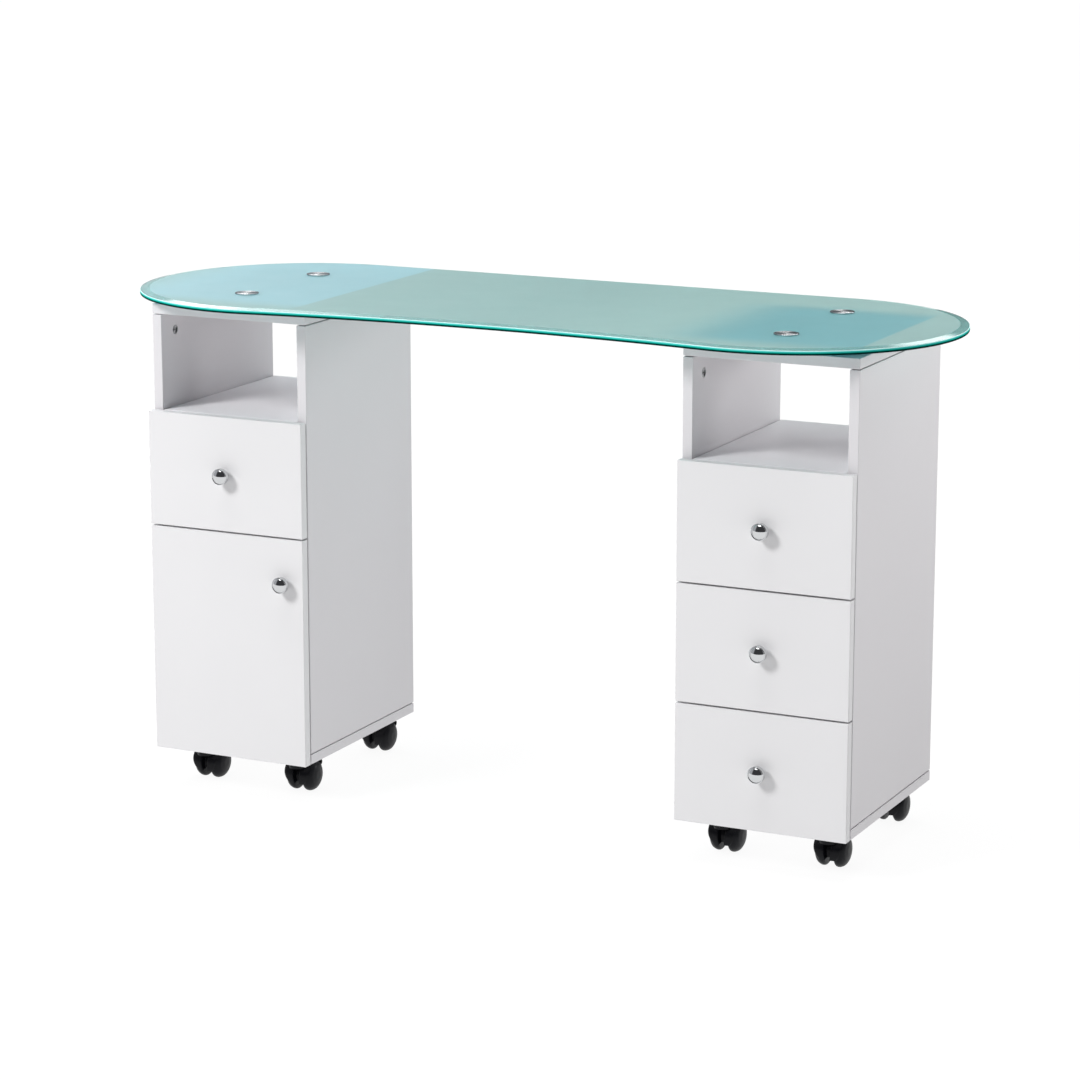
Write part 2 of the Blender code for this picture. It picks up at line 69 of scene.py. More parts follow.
GLASS_BEVEL_WIDTH = 0.013      # wide polished margin of the glass
GLASS_BEVEL_DROP = 0.0018
# Painted dark line: a darker flat ring stands in for the dark line at the start of the bevel
GLASS_PAINTED_LINE_WIDTH = 0.0012      # dark line where the bevel starts
GLASS_ROUND = 0.0007
GLASS_HOLE_RADIUS = 0.006
GLASS_HOLLOW = 0.030           # how far the middle of the front edge is set back
GLASS_OPEN_TONE = (0.355, 0.585, 0.56)  # between the cabinets; then near the right one
GLASS_RIGHT_TONE = (0.395, 0.63, 0.60)
# Painted light and shade: the glass is painted lighter over the left cabinet top and darker over the
# right one
GLASS_LEFT_PAINTED_LIGHT_TONE = (0.39, 0.70, 0.755)
GLASS_RIGHT_PAINTED_SHADE_TONE = (0.225, 0.565, 0.60)
PAINTED_BOARD_IMAGE_SHIFT = (0.002, -0.028)  # of the boards seen through the glass
LEFT_PAINTED_LIGHT_REACH = (0.07, 0.30)  # further left, further back
PAINTED_PATCH_CRISP = 0.003
PAINTED_PATCH_OUT, PAINTED_PATCH_IN = 0.03, 0.04  # how far its soft edges reach; twice as far at the ends
RIGHT_TINT_GROWS, RIGHT_TINT_FADES = (0.0, 0.24), (0.66, 0.54)

DRAWER_WALL = 0.012
DRAWER_BASE = 0.003
DRAWER_BASE_LIFT = 0.003
RUNNER_SHEET = 0.0012
CUP_RADIUS = 0.0175
CUP_DEPTH = 0.011

CAMERA_PLACE = (2.2048, -4.5628, 1.5476)
CAMERA_TURN_DEG = 25.81
CAMERA_DIP_DEG = 12.68
CAMERA_LENS = 115.2
FLOOR_RADIUS = 300.0

# ---- Measuring the frame ----


def ends(node):
    """Lowest and highest corner of a node of the frame."""
    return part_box(node)


def middle(node):
    return sum(ends(node), Vector()) / 2


# ---- Materials ----


def new_material(name, colour, roughness, metallic=0.0, **constants):
    """A Principled material; constants are set on the shader's own sockets."""
    material = bpy.data.materials.new(name)
    material.use_nodes = True
    shader = material.node_tree.nodes["Principled BSDF"]
    shader.inputs["Base Color"].default_value = (*colour, 1.0)
    shader.inputs["Roughness"].default_value = roughness
    shader.inputs["Metallic"].default_value = metallic
    for socket, value in constants.items():
        shader.inputs[socket.replace("_", " ")].default_value = value
    return material


def add_node(material, kind, **settings):
    node = material.node_tree.nodes.new(kind)
    for key, value in settings.items():
        if key.startswith("in_"):
            node.inputs[key[3:].replace("_", " ")].default_value = value
        else:
            setattr(node, key, value)
    return node


def link(material, source, target):
    material.node_tree.links.new(source, target)


def drive(material, socket, source):
    """Feeds one of the shader's sockets."""
    link(material, source, material.node_tree.nodes["Principled BSDF"].inputs[socket])


def coordinates(material, kind="Object"):
    return add_node(material, "ShaderNodeTexCoord").outputs[kind]


def place_on(material):
    """X, Y and Z of the shaded point, in the piece's own metres."""
    split = add_node(material, "ShaderNodeSeparateXYZ")
    link(material, coordinates(material), split.inputs["Vector"])
    return split.outputs


def calculated(material, operation, *values):
    node = add_node(material, "ShaderNodeMath", operation=operation)
    for socket, value in zip(node.inputs, values):
        if isinstance(value, (int, float)):
            socket.default_value = value
        else:
            link(material, value, socket)
    return node.outputs["Value"]


def vector_step(material, operation, source, other=None):
    step = add_node(material, "ShaderNodeVectorMath", operation=operation)
    link(material, source, step.inputs[0])
    if other is not None:
        step.inputs[1].default_value = other
    return step.outputs["Value" if operation == "DOT_PRODUCT" else "Vector"]


def mapped(material, source, start, end, low=0.0, high=1.0, curve="LINEAR"):
    """Goes from low to high while the source goes from start to end."""
    spread = add_node(material, "ShaderNodeMapRange", interpolation_type=curve, in_From_Min=start,
                      in_From_Max=end, in_To_Min=low, in_To_Max=high)
    link(material, source, spread.inputs["Value"])
    return spread.outputs["Result"]


def smooth_step(material, source, start, end):
    return mapped(material, source, start, end, curve="SMOOTHSTEP")


def tone_between(material, factor, *stops):
    """A colour that passes through (position, tone) stops."""
    ramp = add_node(material, "ShaderNodeValToRGB")
    elements = ramp.color_ramp.elements
    for position, _ in stops[1:-1]:
        elements.new(position)
    for element, (position, tone) in zip(elements, stops):
        element.position = position
        element.color = (*tone, 1.0)
    link(material, factor, ramp.inputs["Fac"])
    return ramp.outputs["Color"]


def object_noise(material, scale, detail=2.0, stretch=(1, 1, 1)):
    """Noise in the table's metres; stretch packs it along an axis."""
    mapping = add_node(material, "ShaderNodeMapping")
    mapping.inputs["Scale"].default_value = stretch
    noise = add_node(material, "ShaderNodeTexNoise", in_Scale=scale, in_Detail=detail)
    link(material, coordinates(material), mapping.inputs["Vector"])
    link(material, mapping.outputs["Vector"], noise.inputs["Vector"])
    return noise.outputs["Fac"]


def vary_roughness(material, noise, low, high):
    drive(material, "Roughness", mapped(material, noise, 0.3, 0.7, low, high))


def vary_colour(material, noise, dark, light):
    drive(material, "Base Color", tone_between(material, noise, (0.3, dark), (0.7, light)))


def add_bump(material, height, distance, strength=1.0):
    bump = add_node(material, "ShaderNodeBump", in_Distance=distance, in_Strength=strength)
    link(material, height, bump.inputs["Height"])
    drive(material, "Normal", bump.outputs["Normal"])


def melamine(name, tone, roughness):
    """Coated board: a fine pebbled film, hardly visible clouds of gloss and tone."""
    material = new_material(name, tone, roughness, Specular_IOR_Level=0.45)
    clouds = object_noise(material, 9.0, 3.0)
    dark = [value * 0.985 for value in tone]
    vary_colour(material, clouds, dark, tone)
    vary_roughness(material, clouds, roughness - 0.04, roughness + 0.05)
    pebbles = object_noise(material, 900.0, 2.0)
    add_bump(material, pebbles, 0.00004, 0.5)
    return material


def hardboard():
    material = new_material("white_hardboard", (0.70, 0.70, 0.71), 0.6)
    clouds = object_noise(material, 30.0, 4.0)
    vary_colour(material, clouds, (0.69, 0.69, 0.695), (0.71, 0.71, 0.715))
    vary_roughness(material, clouds, 0.52, 0.68)
    weave = object_noise(material, 600.0, 3.0, (1, 1, 0.4))
    add_bump(material, weave, 0.00008, 0.6)
    return material


def tinted_glass(name, tone, roughness, through):
    material = new_material(name, tone, roughness, Transmission_Weight=through, IOR=1.45)
    clouds = object_noise(material, 14.0, 2.0)
    vary_roughness(material, clouds, roughness * 0.93, roughness * 1.07)
    return material


def frosted_glass(name, tone, roughness, through):
    """Tinted glass whose face is etched: light passes but blurs."""
    material = tinted_glass(name, tone, roughness, through)
    grain = object_noise(material, 6000.0, 1.0)
    add_bump(material, grain, 0.0000004, 0.2)
    return material


def paint_light_over_boards(material):
    """Paints light and shade into the glass colour where the white cabinet tops lie close under it:
    lighter over the left one, darker over the right one, shifted as seen from in front.
    On the left the painted light runs on to the end and to the back of the glass.
    """
    low, high = ends("right_cabinet_top")
    board = (low + high) / 2
    half_x, half_y = (high.x - low.x) / 2, (high.y - low.y) / 2
    math_step, ramp = partial(calculated, material), partial(smooth_step, material)

    def all_of(*parts):
        return reduce(partial(math_step, "MULTIPLY"), parts)

    place = place_on(material)
    shift_x, shift_y = PAINTED_BOARD_IMAGE_SHIFT
    along = math_step("SUBTRACT", place["X"], shift_x)
    across = math_step("SUBTRACT", place["Y"], board.y + shift_y)
    near_right = math_step("GREATER_THAN", along, 0.0)
    near_left = math_step("SUBTRACT", 1.0, near_right)
    board_x = math_step("MULTIPLY_ADD", near_right, 2 * board.x, -board.x)
    inward = math_step("SUBTRACT", along, board_x)
    outward = math_step("MULTIPLY_ADD", near_left, LEFT_PAINTED_LIGHT_REACH[0], inward)
    backward = math_step("MULTIPLY_ADD", near_left, -LEFT_PAINTED_LIGHT_REACH[1], across)
    over_board = all_of(ramp(inward, half_x + PAINTED_PATCH_CRISP, half_x - PAINTED_PATCH_CRISP),
                        ramp(outward, -half_x - 2 * PAINTED_PATCH_OUT, -half_x + 2 * PAINTED_PATCH_IN),
                        ramp(across, -half_y - PAINTED_PATCH_OUT, -half_y + PAINTED_PATCH_IN),
                        ramp(backward, half_y + PAINTED_PATCH_OUT, half_y - PAINTED_PATCH_IN))
    right_part = all_of(ramp(along, *RIGHT_TINT_GROWS), ramp(along, *RIGHT_TINT_FADES))
    mix = add_node(material, "ShaderNodeMix", data_type="RGBA")
    link(material, over_board, mix.inputs["Factor"])
    for socket, factor, left_tone, right_tone in (
            (6, right_part, GLASS_OPEN_TONE, GLASS_RIGHT_TONE),
            (7, near_right, GLASS_LEFT_PAINTED_LIGHT_TONE, GLASS_RIGHT_PAINTED_SHADE_TONE)):
        tone = tone_between(material, factor, (0.0, left_tone), (1.0, right_tone))
        link(material, tone, mix.inputs[socket])
    drive(material, "Base Color", mix.outputs[2])
    return material


# Painted shade, glow and highlight up the glass edge, from its underside to its top
EDGE_PAINTED_LIGHT_STOPS = [(0.0, (0.0, 0.006, 0.005)), (0.32, (0.0, 0.020, 0.016)), (0.48, (0.0, 0.26, 0.20)),
              (0.66, (0.03, 0.52, 0.45)), (0.82, (0.10, 0.66, 0.61)), (1.0, (0.75, 0.95, 0.94))]


def painted_light_glass_edge(low_z, high_z):
    """Painted light on the glass edge: painted deep green shade below, a painted bright aqua glow, a
    painted pale highlight line on top.
    """
    material = new_material("glass_edge", EDGE_PAINTED_LIGHT_STOPS[3][1], 0.08, IOR=1.45, Specular_IOR_Level=0.0)
    height = mapped(material, place_on(material)["Z"], low_z, high_z)
    drive(material, "Base Color", tone_between(material, height, *EDGE_PAINTED_LIGHT_STOPS))
    return material


# Painted reflection: light and dark sectors painted into the turned steel's colour as a bow-tie
SECTOR_TURN = math.radians(25.8)
SECTOR_AXIS = (math.cos(SECTOR_TURN), math.sin(SECTOR_TURN), 0.0)      # where the dark sectors point
SECTOR_PAINTED_HIGHLIGHT, SECTOR_PAINTED_DARK = (0.90, 0.91, 0.92), (0.10, 0.13, 0.15)


def brushed_steel():
    """Turned face: fine rings round the middle of the piece, with a painted bow-tie reflection of
    light and dark sectors.
    """
    material = new_material("brushed_steel", SECTOR_PAINTED_HIGHLIGHT, 0.22, 1.0, Anisotropic=0.95,
                            Anisotropic_Rotation=0.25)
    centred = vector_step(material, "SUBTRACT", coordinates(material, "Generated"), (0.5, 0.5, 0.5))
    flat = vector_step(material, "MULTIPLY", centred, (1.0, 1.0, 0.0))
    outward = vector_step(material, "NORMALIZE", flat)
    across = vector_step(material, "DOT_PRODUCT", outward, SECTOR_AXIS)
    painted_darkness = smooth_step(material, calculated(material, "ABSOLUTE", across), 0.45, 0.97)
    drive(material, "Base Color", tone_between(material, painted_darkness, (0.0, SECTOR_PAINTED_HIGHLIGHT),
                                               (1.0, SECTOR_PAINTED_DARK)))
    tangent = add_node(material, "ShaderNodeTangent", direction_type="RADIAL", axis="Z")
    drive(material, "Tangent", tangent.outputs["Tangent"])
    rings = add_node(material, "ShaderNodeTexWave", wave_type="RINGS", rings_direction="Z",
                     in_Scale=900.0, in_Distortion=0.4, in_Detail=1.0)
    link(material, coordinates(material), rings.inputs["Vector"])
    drive(material, "Roughness", mapped(material, rings.outputs["Fac"], 0.0, 1.0, 0.20, 0.25))
    return material


def chrome():
    material = new_material("chrome", (0.62, 0.63, 0.64), 0.05, 1.0)
    haze = object_noise(material, 60.0, 2.0)
    vary_roughness(material, haze, 0.035, 0.07)
    return material


def zinc(name, shade):
    dark = [shade * value for value in (0.52, 0.53, 0.55)]
    light = [shade * value for value in (0.68, 0.69, 0.71)]
    material = new_material(name, light, 0.32, 1.0)
    spangle = object_noise(material, 350.0, 3.0)
    vary_colour(material, spangle, dark, light)
    vary_roughness(material, spangle, 0.24, 0.40)
    add_bump(material, spangle, 0.00002, 0.3)
    return material


def powder_coat():
    material = new_material("white_metal", (0.74, 0.74, 0.74), 0.38)
    peel = object_noise(material, 700.0, 2.0)
    vary_roughness(material, peel, 0.32, 0.44)
    add_bump(material, peel, 0.00005, 0.5)
    return material


def moulded_nylon(name, tone, roughness, shine=0.5):
    """Nylon with a faint spark-eroded grain."""
    material = new_material(name, tone, roughness, Specular_IOR_Level=shine)
    grain = object_noise(material, 1500.0, 2.0)
    vary_roughness(material, grain, roughness - 0.06, roughness + 0.06)
    add_bump(material, grain, 0.00003, 0.5)
    return material


def pale_floor():
    """Evenly lit sweep: mostly its own even glow, so that shadows on it stay very faint."""
    material = new_material("pale_floor", (0.08, 0.08, 0.08), 0.9, Specular_IOR_Level=0.0,
                            Emission_Color=(1.0, 1.0, 1.0, 1.0), Emission_Strength=0.93)
    clouds = object_noise(material, 0.5, 1.0)
    vary_colour(material, clouds, (0.075, 0.075, 0.075), (0.085, 0.085, 0.085))
    return material


glass_low, glass_high = ends("glass_top")
MATERIALS = {
    # Lit and shaded copies of one white melamine: the shelves painted lighter, the other boards
    # painted darker than the fronts
    "board": melamine("white_board", (0.735, 0.718, 0.738), 0.42),
    "shelf": melamine("white_shelf_painted_lighter", (0.91, 0.895, 0.915), 0.40),
    "front": melamine("white_front", (0.775, 0.77, 0.78), 0.36),
    "hardboard": hardboard(),
    "glass_field": paint_light_over_boards(frosted_glass("glass_field", GLASS_OPEN_TONE, 0.30, 0.45)),
    # Painted dark line where the bevel starts
    "glass_painted_line": tinted_glass("glass_painted_line", (0.12, 0.38, 0.35), 0.30, 0.3),
    "glass_bevel": tinted_glass("glass_bevel", (0.45, 0.82, 0.79), 0.06, 0.7),
    "glass_edge": painted_light_glass_edge(glass_low.z, glass_high.z - GLASS_BEVEL_DROP),
    "steel": brushed_steel(),
    "chrome": chrome(),
    "zinc": zinc("zinc_plate", 1.0),
    # A darker copy of the zinc: painted shade on the cam locks sunk in their bores
    "cam_zinc_painted_shade": zinc("cam_zinc_painted_shade", 0.60),
    "white_metal": powder_coat(),
    "white_nylon": moulded_nylon("white_nylon", (0.78, 0.78, 0.76), 0.35),
    "clear_washer": moulded_nylon("clear_washer", (0.62, 0.66, 0.66), 0.25),
    "black_nylon": moulded_nylon("black_nylon", (0.0035, 0.0037, 0.0055), 0.34, 0.16),
    "black_tread": moulded_nylon("black_tread", (0.0045, 0.0048, 0.0070), 0.38, 0.16),
}

# ---- Mesh tools ----


def new_object(name, data):
    """Puts a mesh, light or camera into the scene."""
    result = bpy.data.objects.new(name, data)
    bpy.context.scene.collection.objects.link(result)
    return result


def resharpen(mesh, sharp_deg=30):
    mesh.shade_smooth()
    mesh.set_sharp_from_angle(angle=math.radians(sharp_deg))
    return mesh


def to_mesh(bm, sharp_deg=30):
    bmesh.ops.recalc_face_normals(bm, faces=bm.faces)
    mesh = bpy.data.meshes.new("shape")
    bm.to_mesh(mesh)
    bm.free()
    return resharpen(mesh, sharp_deg)


def add_piece(name, mesh, material, body="root", stands_for=(), place=(0, 0, 0)):
    """Puts a mesh on a body of the frame and hides the frame parts it stands for."""
    if not mesh.users:
        mesh.name = name
    piece = new_object(name, mesh)
    if not mesh.materials:
        mesh.materials.append(MATERIALS[material])
    piece.location = place
    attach(piece, body)
    if stands_for:
        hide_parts(*stands_for)
    return piece


def even_shading(piece):
    """Keeps flat faces flat next to their rounded corners."""
    weighted = piece.modifiers.new("even_shading", "WEIGHTED_NORMAL")
    weighted.keep_sharp = True
    weighted.weight = 80


def filleted(points, steps=4, closed=False):
    """Rounds the corners of an outline of (a, b, radius) points; radius 0 keeps a corner."""
    result = []
    count = len(points)
    for index, (a, b, radius) in enumerate(points):
        here = Vector((a, b))
        at_end = not closed and index in (0, count - 1)
        if radius <= 0 or at_end:
            result.append((a, b))
            continue
        before = Vector(points[index - 1][:2]) - here
        after = Vector(points[(index + 1) % count][:2]) - here
        back, on = before.normalized(), after.normalized()
        half = before.angle(after) / 2
        reach = min(radius / math.tan(half), before.length * 0.49, after.length * 0.49)
        radius = reach * math.tan(half)
        hub = here + (back + on).normalized() * (radius / math.sin(half))
        first, last = here + back * reach - hub, here + on * reach - hub
        sweep = first.angle_signed(last)
        for step in range(steps + 1):
            turned = first.copy()
            turned.rotate(Matrix.Rotation(-sweep * step / steps, 2))
            result.append(tuple(hub + turned))
    return result


def turned_mesh(profile, axis, sides, sharp_deg=35):
    """Spins (radius, distance along the axis) points into a closed solid."""
    along = {"x": Vector((1, 0, 0)), "y": Vector((0, 1, 0)), "z": Vector((0, 0, 1))}[axis]
    across = {"x": Vector((0, 0, -1)), "y": Vector((1, 0, 0)), "z": Vector((1, 0, 0))}[axis]
    bm = bmesh.new()
    points = [bm.verts.new(across * radius + along * distance) for radius, distance in profile]
    edges = [bm.edges.new(pair) for pair in zip(points, points[1:])]
    bmesh.ops.spin(bm, geom=points + edges, cent=(0, 0, 0), axis=along, angle=2 * math.pi,
                   steps=sides, use_merge=True)
    bmesh.ops.remove_doubles(bm, verts=bm.verts, dist=1e-7)
    return to_mesh(bm, sharp_deg)


def soften(bm, width, segments=2):
    """Rounds every edge sharper than 40 degrees."""
    sharp = [e for e in bm.edges if e.is_manifold and e.calc_face_angle() > math.radians(40)]
    bmesh.ops.bevel(bm, geom=sharp, offset=width, segments=segments, profile=0.5,
                    affect="EDGES", clamp_overlap=True)


def prism_mesh(outline, start, length, plane, round_width=0.0):
    """Pushes an outline in the plane "xy", "xz" or "yz" along the third axis."""
    place = {
        "xy": lambda a, b: (a, b, start),
        "xz": lambda a, b: (a, start, b),
        "yz": lambda a, b: (start, a, b),
    }[plane]
    grow = {"xy": (0, 0, length), "xz": (0, length, 0), "yz": (length, 0, 0)}[plane]
    bm = bmesh.new()
    face = bm.faces.new([bm.verts.new(place(a, b)) for a, b in outline])
    grown = bmesh.ops.extrude_face_region(bm, geom=[face])
    moved = [item for item in grown["geom"] if isinstance(item, bmesh.types.BMVert)]
    bmesh.ops.translate(bm, verts=moved, vec=Vector(grow))
    bmesh.ops.recalc_face_normals(bm, faces=bm.faces)
    if round_width:
        soften(bm, round_width)
    return to_mesh(bm)


def box_bmesh(low, high):
    low, high = Vector(low), Vector(high)
    bm = bmesh.new()
    place = Matrix.Translation((low + high) / 2) @ Matrix.Diagonal((*(high - low), 1.0))
    bmesh.ops.create_cube(bm, size=1.0, matrix=place)
    return bm


def block_mesh(low, high, round_width=0.0005, segments=2):
    bm = box_bmesh(low, high)
    soften(bm, round_width, segments)
    return to_mesh(bm)


def boolean(mesh, tools, operation="DIFFERENCE"):
    """Cuts or joins closed meshes and returns the new mesh."""
    base = new_object("boolean_base", mesh)
    helpers = []
    for tool in tools:
        helper = new_object("boolean_tool", tool)
        modifier = base.modifiers.new("boolean", "BOOLEAN")
        modifier.object = helper
        modifier.operation = operation
        modifier.solver = "EXACT"
        helpers.append(helper)
    depsgraph = bpy.context.evaluated_depsgraph_get()
    result = bpy.data.meshes.new_from_object(base.evaluated_get(depsgraph))
    for used in (base, *helpers):
        bpy.data.objects.remove(used, do_unlink=True)
    return result


def cross_slots(arm, width, low_z, high_z):
    """Two bars across each other, used to cut a cross recess."""
    slots = []
    for turn in (0, math.pi / 2):
        bm = box_bmesh((-arm, -width, low_z), (arm, width, high_z))
        bmesh.ops.rotate(bm, cent=(0, 0, 0), matrix=Matrix.Rotation(turn, 3, "Z"), verts=bm.verts)
        slots.append(to_mesh(bm))
    return slots


def shaped(mesh, tools, operation="DIFFERENCE"):
    """Cuts or joins a fitting that still has to be given its material."""
    mesh = resharpen(boolean(mesh, tools, operation))
    mesh.materials.clear()
    return mesh


def rod(centre, axis, radius, length, sides=32):
    """A cylinder centred on a point, used to bore and to join."""
    quarter = math.pi / 2
    turns = {"x": Matrix.Rotation(quarter, 4, "Y"), "y": Matrix.Rotation(quarter, 4, "X"),
             "z": Matrix.Identity(4)}
    bm = bmesh.new()
    bmesh.ops.create_cone(bm, cap_ends=True, segments=sides, radius1=radius, radius2=radius,
                          depth=length, matrix=Matrix.Translation(Vector(centre)) @ turns[axis])
    return to_mesh(bm)


def copies(mesh, places, facing):
    """Copies of a fitting that faces +Z, one at each place, turned to face the given direction."""
    turn = Vector((0, 0, 1)).rotation_difference(Vector(facing)).to_matrix().to_4x4()
    bm = bmesh.new()
    for place in places:
        before = len(bm.verts)
        bm.from_mesh(mesh)
        bm.verts.ensure_lookup_table()
        matrix = Matrix.Translation(Vector(place)) @ turn
        bmesh.ops.transform(bm, matrix=matrix, verts=bm.verts[before:])
    joined = bpy.data.meshes.new("shape")
    bm.to_mesh(joined)
    bm.free()
    return joined


# ---- Boards ----


def panel_mesh(low, high, bores=()):
    """A board with rounded edge bands and their hair-thin seams, bored where fittings sit."""
    bm = box_bmesh(low, high)
    bmesh.ops.bevel(bm, geom=bm.edges[:], offset=BOARD_ROUND, segments=3, profile=0.5,
                    affect="EDGES")
    faces = sorted(bm.faces, key=lambda face: face.calc_area())[-2:]
    seam = BAND - BOARD_ROUND
    for width, depth in ((seam, 0.0), (SEAM_WIDTH, -SEAM_DEPTH), (SEAM_WIDTH, SEAM_DEPTH)):
        bmesh.ops.inset_individual(bm, faces=faces, thickness=width, depth=depth,
                                   use_even_offset=True)
    return resharpen(boolean(to_mesh(bm), bores)) if bores else to_mesh(bm)


def add_panel(node, material="board", body="root", bores=(), joint=(0, 0, 0)):
    """The joint is left open between this board and the ones it meets, along each axis."""
    low, high = ends(node)
    mesh = panel_mesh(low + Vector(joint), high - Vector(joint), bores)
    even_shading(add_piece(f"{node}_panel", mesh, material, body, [node]))


def cam_lock_mesh():
    """Zinc disc with a rim, a cross slot and two curved pockets; its face is at z = 0, to +Z."""
    radius, base = CAM_RADIUS - HAIR, 0.001 - CAM_DEPTH
    profile = filleted([(0, base, 0), (radius, base, 0), (radius, 0, 0.0006),
                        (radius - 0.0014, 0, 0.0002), (radius - 0.0017, -0.0006, 0.0002),
                        (0, -0.0006, 0)], 3)
    disc = turned_mesh(profile, "z", 40)
    inner, outer = 0.0033, 0.0061
    slots = cross_slots(0.0026, 0.0008, -0.0045, 0.002)
    for first, last in ((15, 125), (195, 305)):
        turns = [math.radians(first + (last - first) * step / 16) for step in range(17)]
        outline = [(outer * math.cos(turn), outer * math.sin(turn)) for turn in turns]
        outline += [(inner * math.cos(turn), inner * math.sin(turn)) for turn in reversed(turns)]
        slots.append(prism_mesh(outline, -0.0085, 0.0105, "xy"))
    return shaped(disc, slots)


CAM_LOCK = cam_lock_mesh()


def add_cam_locks(name, points, facing):
    """Cam locks sunk a little in their bores; facing is the outward direction of the board."""
    places = [Vector(point) - Vector(facing) * CAM_SUNK for point in points]
    add_piece(name, copies(CAM_LOCK, places, facing), "cam_zinc_painted_shade")


def cam_bores(points, axis):
    return [rod(point, axis, CAM_RADIUS, 2 * CAM_DEPTH, 40) for point in points]


def build_side(cabinet, side, direction):
    """A side board; its cam locks face the inside of the cabinet, near the top and the bottom."""
    node = f"{cabinet}_cabinet_{side}_side"
    low, high = ends(node)
    x = high.x if direction > 0 else low.x
    points = [(x, y, z) for y in (low.y + CAM_FROM_FRONT, high.y - CAM_FROM_FRONT)
              for z in (low.z + CAM_FROM_END, high.z - CAM_FROM_END)]
    add_panel(node, bores=cam_bores(points, "x"), joint=(0, 0, BOARD_JOINT))
    add_cam_locks(f"{cabinet}_cabinet_{side}_cam_locks", points, (direction, 0, 0))


def build_shelf(node):
    """A shelf; its cam locks face down, near the sides."""
    low, high = ends(node)
    points = [(x, y, low.z) for x in (low.x + CAM_FROM_END, high.x - CAM_FROM_END)
              for y in (low.y + CAM_FROM_FRONT, high.y - CAM_FROM_FRONT)]
    add_panel(node, "shelf", bores=cam_bores(points, "z"), joint=(BOARD_JOINT, 0, 0))
    add_cam_locks(f"{node}_cam_locks", points, (0, 0, -1))


def build_cabinet(cabinet):
    add_panel(f"{cabinet}_cabinet_top")
    add_panel(f"{cabinet}_cabinet_bottom")
    build_side(cabinet, "left", 1)
    build_side(cabinet, "right", -1)
    build_shelf(f"{cabinet}_cabinet_niche_shelf")
    back = f"{cabinet}_cabinet_back"
    mesh = block_mesh(*ends(back), 0.0003)
    even_shading(add_piece(f"{back}_sheet", mesh, "hardboard", "root", [back]))


# ---- Screws and knobs ----


def screw_mesh(radius, height):
    """Pan head with a cross recess, facing +Z, with its underside at z = 0."""
    profile = filleted([(0, 0, 0), (radius, 0, 0), (radius, height * 0.45, radius * 0.3),
                        (radius * 0.55, height, radius * 0.5), (0, height, 0)], 4)
    head = turned_mesh(profile, "z", 32)
    return shaped(head, cross_slots(radius * 0.55, radius * 0.12, height * 0.35, height * 2))


SCREW = screw_mesh(0.0034, 0.0016)
SMALL_SCREW = screw_mesh(0.0026, 0.0011)


def add_screws(name, points, facing, body="root", mesh=SMALL_SCREW):
    add_piece(name, copies(mesh, points, facing), "zinc", body)


def knob_mesh():
    """Mushroom knob: foot, waist, flared neck, ring and a domed cap. The front board is at y = 0."""
    neck = filleted([(0, -HAIR, 0), (0.0064, -HAIR, 0), (0.0064, -0.0014, 0.0006),
                     (0.0050, -0.0034, 0.0030), (0.0060, -0.0066, 0.0040),
                     (0.0124, -0.0100, 0.0010), (0.0124, -0.0176, 0.0007),
                     (0.0114, -0.0182, 0.0003), (0.0109, -0.0177, 0.0002)], 6)
    cap_radius, cap_base, cap_top = 0.0107, -0.0178, -0.0229
    rise = cap_base - cap_top
    sphere = (cap_radius ** 2 + rise ** 2) / (2 * rise)
    spread = math.asin(cap_radius / sphere)
    angles = [spread * (1 - step / 16) for step in range(17)]
    dome = [(sphere * math.sin(a), cap_top + sphere * (1 - math.cos(a))) for a in angles]
    return turned_mesh(neck + dome, "y", 96, 40)


KNOB = knob_mesh()


def add_knob(node, board, body):
    """Puts a knob on the front of its board."""
    spot = middle(node)
    spot.y = ends(board)[0].y
    add_piece(f"{node}_turned", KNOB, "chrome", body, [node], spot)


def bore_for_knob(node):
    return rod(middle(node), "y", 0.0022, 0.1, 24)


# ---- Drawers ----


def build_drawer_box(drawer):
    """Four walls round a thin base."""
    low, high = ends(f"{drawer}_box")
    wall = DRAWER_WALL
    left, right = low.x + wall + HAIR, high.x - wall - HAIR
    parts = {
        "left_wall": (low, (low.x + wall, high.y, high.z)),
        "right_wall": ((high.x - wall, low.y, low.z), high),
        "back_wall": ((left, high.y - wall, low.z), (right, high.y, high.z - 0.004)),
        "inner_front": ((left, low.y, low.z), (right, low.y + wall, high.z)),
    }
    for part, (start, end) in parts.items():
        mesh = block_mesh(start, end, 0.0012, 3)
        stands_for = [f"{drawer}_box"] if part == "left_wall" else ()
        even_shading(add_piece(f"{drawer}_box_{part}", mesh, "board", drawer,
                               stands_for))
    base_z = low.z + DRAWER_BASE_LIFT
    mesh = block_mesh((left, low.y + wall + HAIR, base_z),
                      (right, high.y - wall - HAIR, base_z + DRAWER_BASE), 0.0003)
    add_piece(f"{drawer}_box_base", mesh, "hardboard", drawer)
    knob = middle(f"{drawer}_knob")
    spots = [(x, z) for x in (low.x + 0.045, high.x - 0.045) for z in (low.z + 0.03, high.z - 0.025)]
    points = [(x, low.y + wall, z) for x, z in spots + [(knob.x, knob.z)]]
    add_screws(f"{drawer}_front_screws", points, (0, 1, 0), drawer, SCREW)


def roller_mesh(radius, width):
    """Nylon roller with rounded rims, turning about X."""
    half = width / 2
    corners = [(0, -half, 0), (radius, -half, 0.0008), (radius, half, 0.0008), (0, half, 0)]
    return turned_mesh(filleted(corners, 3), "x", 40)


